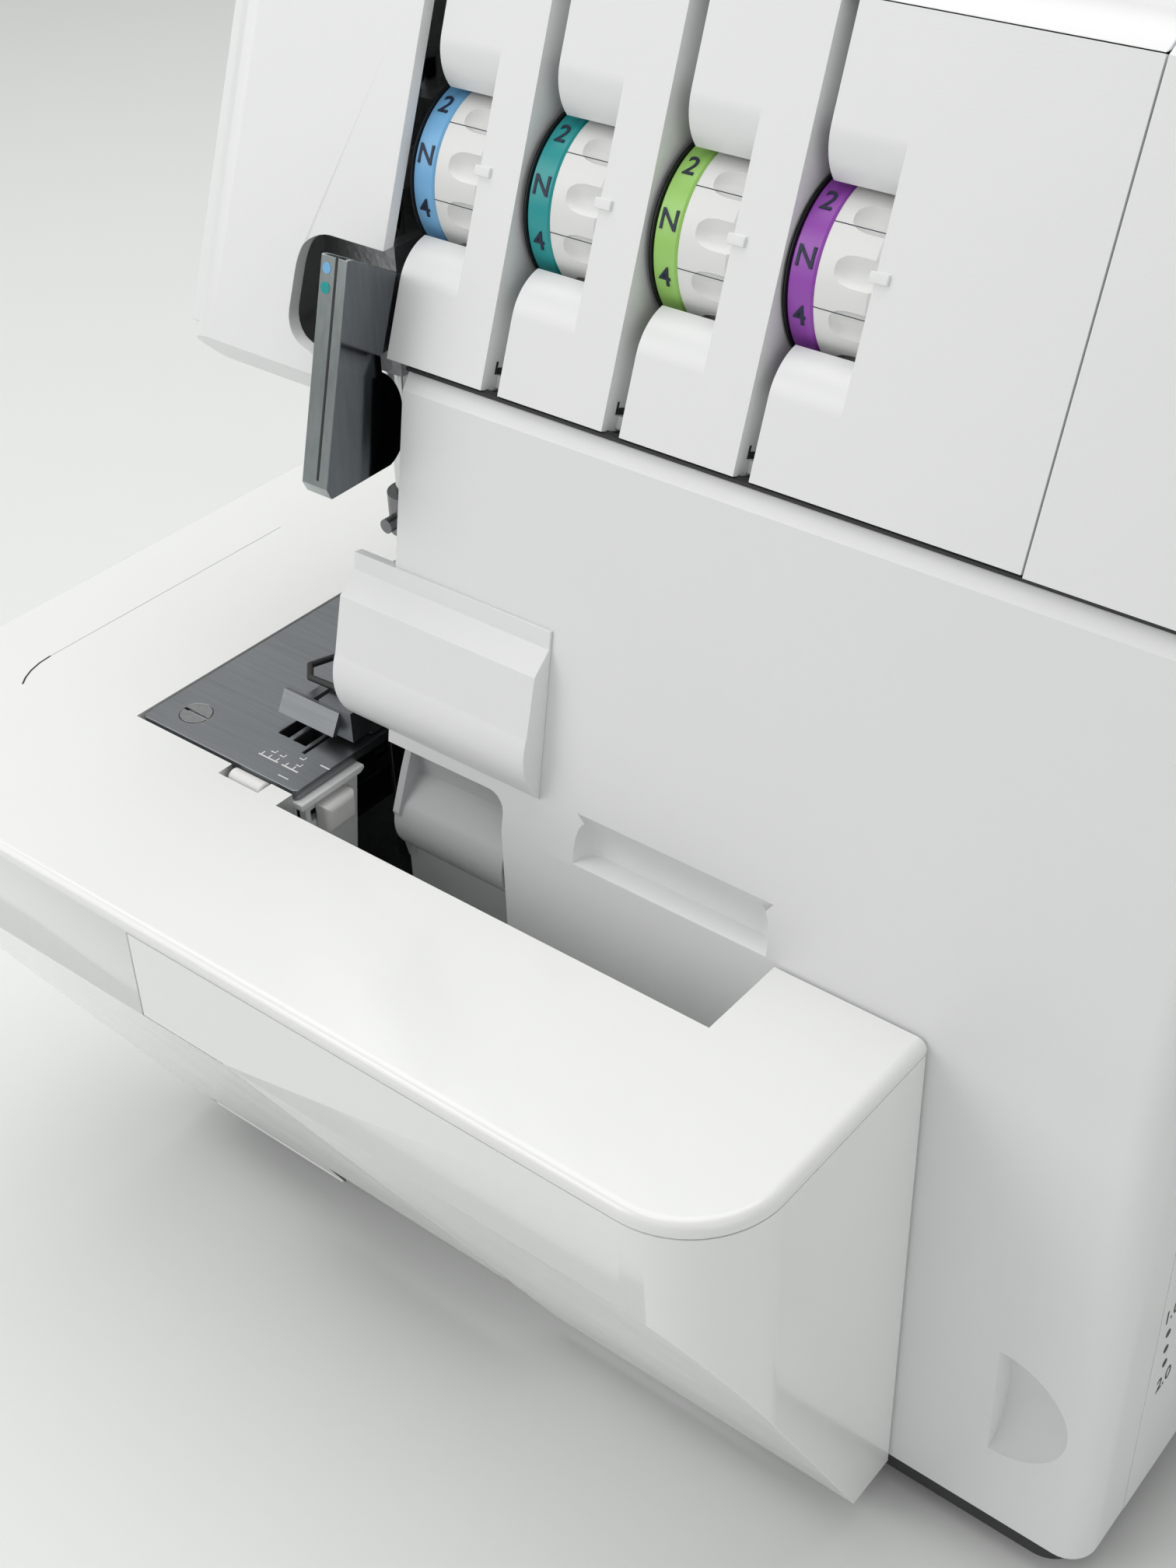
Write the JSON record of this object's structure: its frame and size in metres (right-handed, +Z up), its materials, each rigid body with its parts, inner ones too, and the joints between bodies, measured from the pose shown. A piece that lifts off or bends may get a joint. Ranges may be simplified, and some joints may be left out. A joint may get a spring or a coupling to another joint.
{
  "type": "overlock sewing machine",
  "caption": "White overlock sewing machine with tension dials, free arm, extension table and an accessory drawer.",
  "frame": {"origin": "centre of the machine's outline from above, on the surface it stands on", "axes": "+Z up, +X towards the handwheel end, +Y towards the rear"},
  "size_m": [0.3134, 0.28, 0.305],
  "materials": {
    "white_shell": "smooth",
    "white_table": "glossy",
    "white_grip": "satin",
    "grey_plastic": "matt",
    "dark_plastic": "matt",
    "lamp_clear": "frosted",
    "bright_steel": "polished",
    "plate_steel": "brushed",
    "tool_steel": "ground",
    "casting": "cast",
    "feet_rubber": "matt",
    "belt_rubber": "matt",
    "dial_blue": "satin",
    "dial_teal": "satin",
    "dial_green": "satin",
    "dial_purple": "satin"
  },
  "bodies": {
    "machine": {"base_plate": "dark_plastic", "rubber_feet": "feet_rubber", "right_end_cover": "white_shell", "rear_cover": "white_shell", "top_cover": "white_shell", "left_head_cover": "white_shell", "lamp_lens": "lamp_clear", "tension_panel": "white_shell", "dial_collars": "dark_plastic", "tension_bracket": "plate_steel", "tension_spindles": "tool_steel", "takeup_guard": "bright_steel", "waste_chute": "grey_plastic", "needle_plate": "plate_steel", "needle_plate_screw": "bright_steel", "bed_frame": "casting", "free_arm_cover": "white_shell", "stitch_finger_bracket": "white_shell", "lower_knife": "tool_steel", "machine_frame": "casting", "motor": "dark_plastic", "drive_belt": "belt_rubber", "power_inlet": "dark_plastic", "pedal_socket": "dark_plastic", "spool_stand": "white_shell", "spool_pins": "bright_steel", "cone_holders": "grey_plastic", "tree_tube": "bright_steel", "case_screws": "bright_steel"},
    "front_cover": {"front_cover": "white_shell", "knife_cover": "white_shell"},
    "extension_table": {"extension_table": "white_table"},
    "accessory_drawer": {"accessory_drawer": "white_table"},
    "tension_dial_1": {"tension_dial_1": "dial_blue"},
    "tension_dial_2": {"tension_dial_2": "dial_teal"},
    "tension_dial_3": {"tension_dial_3": "dial_green"},
    "tension_dial_4": {"tension_dial_4": "dial_purple"},
    "takeup_lever": {"takeup_lever": "tool_steel"},
    "needle_bar": {"needle_bar": "bright_steel", "needle_clamp": "tool_steel", "needles": "bright_steel"},
    "presser": {"presser_bar": "bright_steel", "presser_foot": "plate_steel", "foot_wire": "dark_plastic"},
    "presser_lifter": {"presser_lifter": "dark_plastic"},
    "upper_knife": {"upper_knife": "tool_steel"},
    "lower_looper": {"lower_looper": "bright_steel"},
    "upper_looper": {"upper_looper": "bright_steel"},
    "feed_dog_main": {"feed_dog_main": "tool_steel"},
    "feed_dog_differential": {"feed_dog_differential": "tool_steel"},
    "handwheel": {"main_shaft": "tool_steel", "belt_pulley": "casting", "handwheel": "white_grip"},
    "motor_pulley": {"motor_pulley": "tool_steel"},
    "differential_dial": {"differential_dial": "white_grip"},
    "stitch_length_dial": {"stitch_length_dial": "white_grip"},
    "power_switch": {"power_switch": "dark_plastic"},
    "stitch_finger_lever": {"stitch_finger_lever": "white_grip"},
    "carrying_handle": {"carrying_handle": "white_shell"},
    "thread_guide_head": {"thread_guide_head": "bright_steel"}
  },
  "joints": [
    {"name": "cover_slide", "type": "slide", "parent": "machine", "child": "front_cover", "axis": [1, 0, 0], "range_m": [0, 0.008], "stiffness_N_per_m": 150},
    {"name": "table_slide", "type": "slide", "parent": "machine", "child": "extension_table", "axis": [0, -1, 0], "range_m": [0, 0.26]},
    {"name": "drawer_slide", "type": "slide", "parent": "extension_table", "child": "accessory_drawer", "axis": [0, -1, 0], "range_m": [0, 0.035]},
    {"name": "tension_turn_1", "type": "hinge", "parent": "machine", "child": "tension_dial_1", "pos_m": [-0.03455, -0.02891, 0.24644], "axis": [1, 0, 0], "range_deg": [-150, 150]},
    {"name": "tension_turn_2", "type": "hinge", "parent": "machine", "child": "tension_dial_2", "pos_m": [-0.00665, -0.02891, 0.24644], "axis": [1, 0, 0], "range_deg": [-150, 150]},
    {"name": "tension_turn_3", "type": "hinge", "parent": "machine", "child": "tension_dial_3", "pos_m": [0.02185, -0.02891, 0.24644], "axis": [1, 0, 0], "range_deg": [-150, 150]},
    {"name": "tension_turn_4", "type": "hinge", "parent": "machine", "child": "tension_dial_4", "pos_m": [0.04995, -0.02891, 0.24644], "axis": [1, 0, 0], "range_deg": [-150, 150]},
    {"name": "needle_stroke", "type": "slide", "parent": "machine", "child": "needle_bar", "axis": [0, 0, 1], "range_m": [-0.024, 0]},
    {"name": "takeup_swing", "type": "hinge", "parent": "machine", "child": "takeup_lever", "pos_m": [-0.04895, -0.007, 0.225], "axis": [1, 0, 0], "range_deg": [0, 10]},
    {"name": "knife_stroke", "type": "slide", "parent": "machine", "child": "upper_knife", "axis": [0, 0, 1], "range_m": [-0.006, 0]},
    {"name": "lower_looper_swing", "type": "hinge", "parent": "machine", "child": "lower_looper", "pos_m": [-0.03075, -0.03, 0.07], "axis": [0, 1, 0], "range_deg": [0, 12]},
    {"name": "upper_looper_swing", "type": "hinge", "parent": "machine", "child": "upper_looper", "pos_m": [-0.02075, -0.025, 0.098], "axis": [0, 1, 0], "range_deg": [0, 12]},
    {"name": "feed_main_stroke", "type": "slide", "parent": "machine", "child": "feed_dog_main", "axis": [0, 1, 0], "range_m": [-0.0015, 0.0015]},
    {"name": "feed_differential_stroke", "type": "slide", "parent": "machine", "child": "feed_dog_differential", "axis": [0, 1, 0], "range_m": [-0.0015, 0.0015]},
    {"name": "lifter_turn", "type": "hinge", "parent": "machine", "child": "presser_lifter", "pos_m": [-0.06275, 0.055, 0.23], "axis": [0, 1, 0], "range_deg": [0, 60]},
    {"name": "presser_lift", "type": "slide", "parent": "machine", "child": "presser", "axis": [0, 0, 1], "range_m": [0, 0.006]},
    {"name": "wheel_turn", "type": "hinge", "parent": "machine", "child": "handwheel", "pos_m": [0.07925, 0.02, 0.105], "axis": [1, 0, 0], "continuous": true},
    {"name": "motor_turn", "type": "hinge", "parent": "machine", "child": "motor_pulley", "pos_m": [0.11925, 0.02, 0.042], "axis": [1, 0, 0], "continuous": true},
    {"name": "differential_turn", "type": "hinge", "parent": "machine", "child": "differential_dial", "pos_m": [0.13925, -0.031, 0.062], "axis": [1, 0, 0], "range_deg": [-120, 120]},
    {"name": "length_turn", "type": "hinge", "parent": "machine", "child": "stitch_length_dial", "pos_m": [0.13925, -0.039, 0.122], "axis": [1, 0, 0], "range_deg": [-120, 120]},
    {"name": "switch_rock", "type": "hinge", "parent": "machine", "child": "power_switch", "pos_m": [0.13325, 0.047, 0.034], "axis": [0, 0, 1], "range_deg": [-8, 0]},
    {"name": "stitch_finger_slide", "type": "slide", "parent": "machine", "child": "stitch_finger_lever", "axis": [0, 1, 0], "range_m": [-0.0038, 0.004]},
    {"name": "handle_fold", "type": "hinge", "parent": "machine", "child": "carrying_handle", "pos_m": [0.02425, 0.034, 0.29965], "axis": [-1, 0, 0], "range_deg": [0, 85]},
    {"name": "tree_slide", "type": "slide", "parent": "machine", "child": "thread_guide_head", "axis": [0, 0, 1], "range_m": [0, 0.2]}
  ],
  "couplings": [
    {"joint": "takeup_swing", "follows": "needle_stroke", "rad_per_m": -7},
    {"joint": "knife_stroke", "follows": "needle_stroke", "ratio": 0.24},
    {"joint": "lower_looper_swing", "follows": "needle_stroke", "rad_per_m": -8.5},
    {"joint": "upper_looper_swing", "follows": "needle_stroke", "rad_per_m": -8.5},
    {"joint": "feed_main_stroke", "follows": "needle_stroke", "ratio": 0.06},
    {"joint": "feed_differential_stroke", "follows": "needle_stroke", "ratio": 0.06},
    {"joint": "lifter_turn", "follows": "presser_lift", "rad_per_m": 174},
    {"joint": "motor_turn", "follows": "wheel_turn", "ratio": 3}
  ]
}
